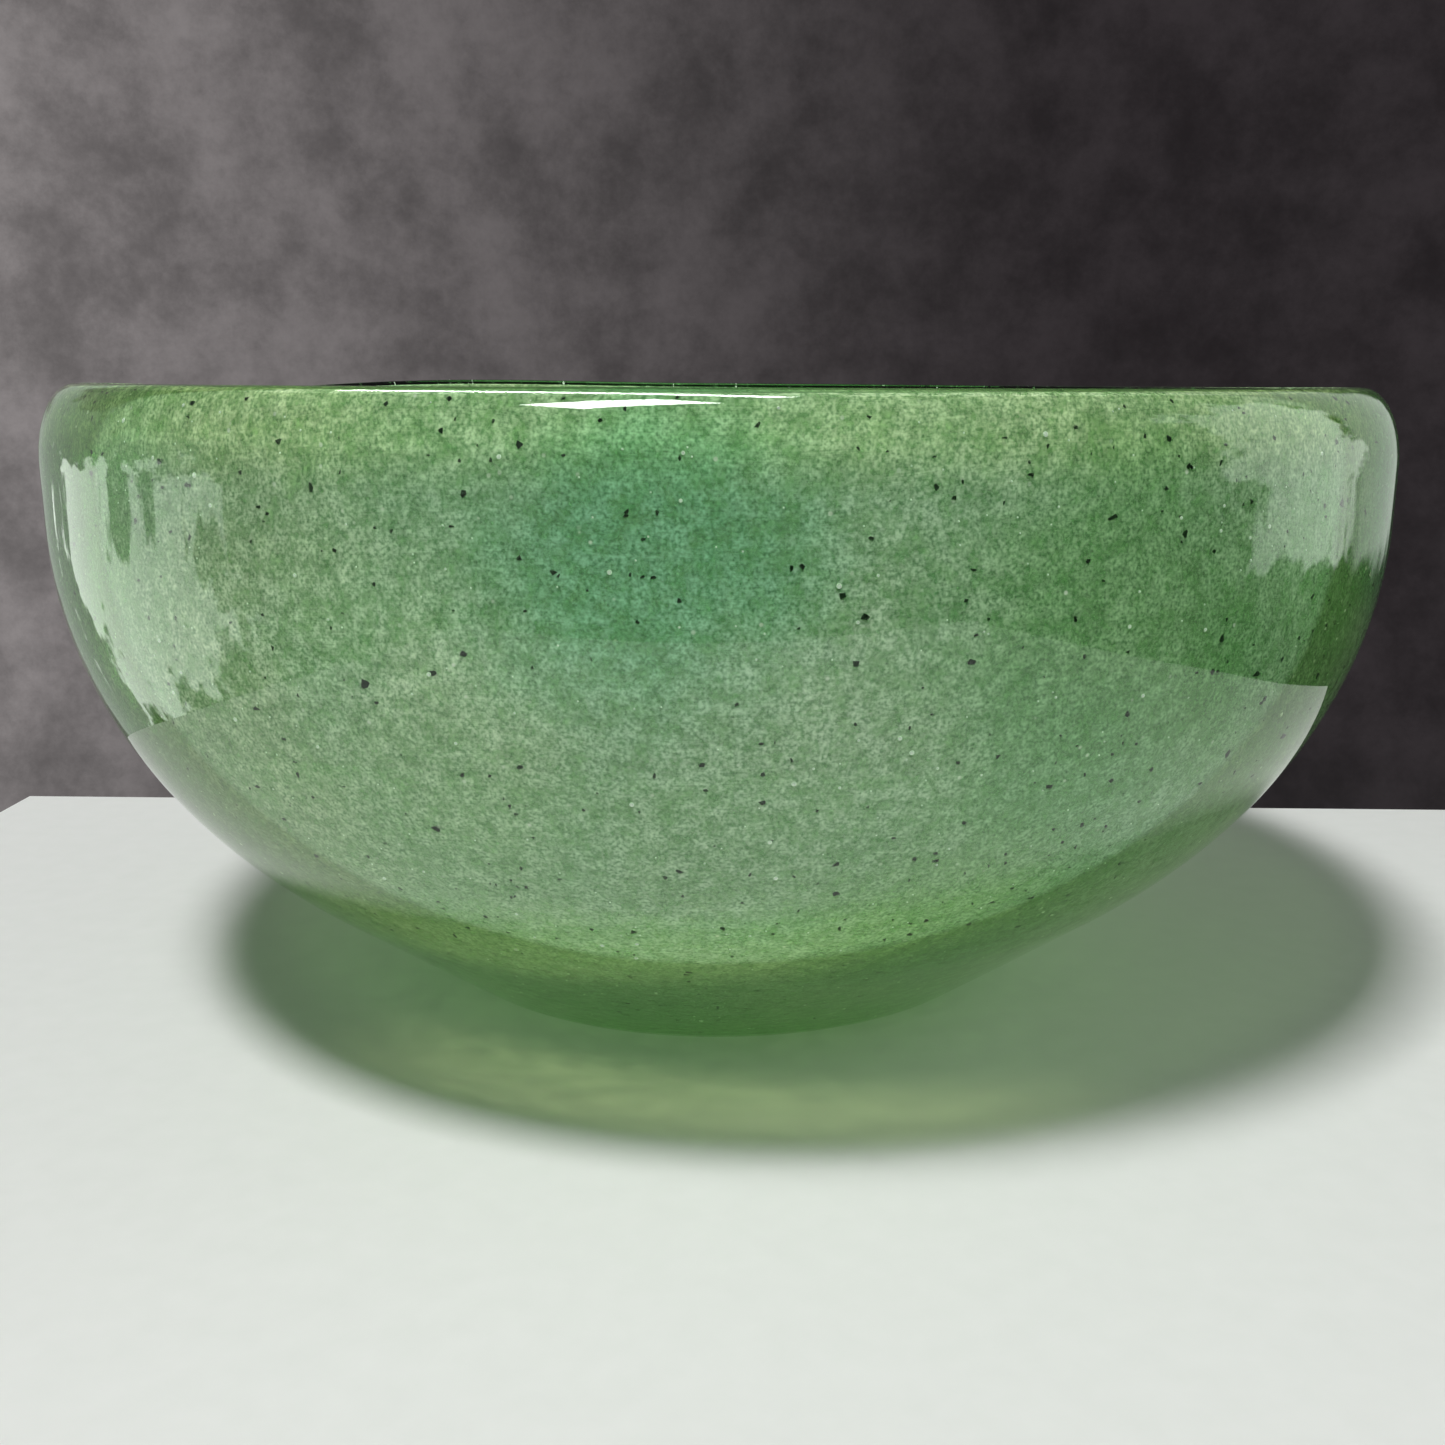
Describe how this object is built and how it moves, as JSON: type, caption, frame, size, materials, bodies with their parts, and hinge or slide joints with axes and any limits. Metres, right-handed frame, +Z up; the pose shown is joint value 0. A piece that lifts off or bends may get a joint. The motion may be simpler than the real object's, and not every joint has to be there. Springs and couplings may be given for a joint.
{
  "type": "glass bowl",
  "caption": "Thick-walled round bowl of cased glass: clear inner lining, mottled green powder layer and a heavy clear casing with a fire-polished lip and a flat foot.",
  "frame": {"origin": "centre of the flat foot, on the surface that the bowl stands on", "axes": "+Z up along the bowl's axis; X and Y are any two directions across it, because the bowl is round"},
  "size_m": [0.2, 0.2, 0.0905],
  "materials": {
    "clear_glass": "fire-polished clear glass with a faint green tint and seed bubbles",
    "lining_glass": "fire-polished clear glass with a faint green tint",
    "green_powder_glass": "mottled translucent green powder glass, streaked round the bowl",
    "dark_glass": "nearly black green glass chips"
  },
  "bodies": {
    "root": {"outer_casing": "clear_glass", "inner_lining": "lining_glass", "colour_layer": "green_powder_glass", "dark_chips": "dark_glass"}
  },
  "joints": []
}
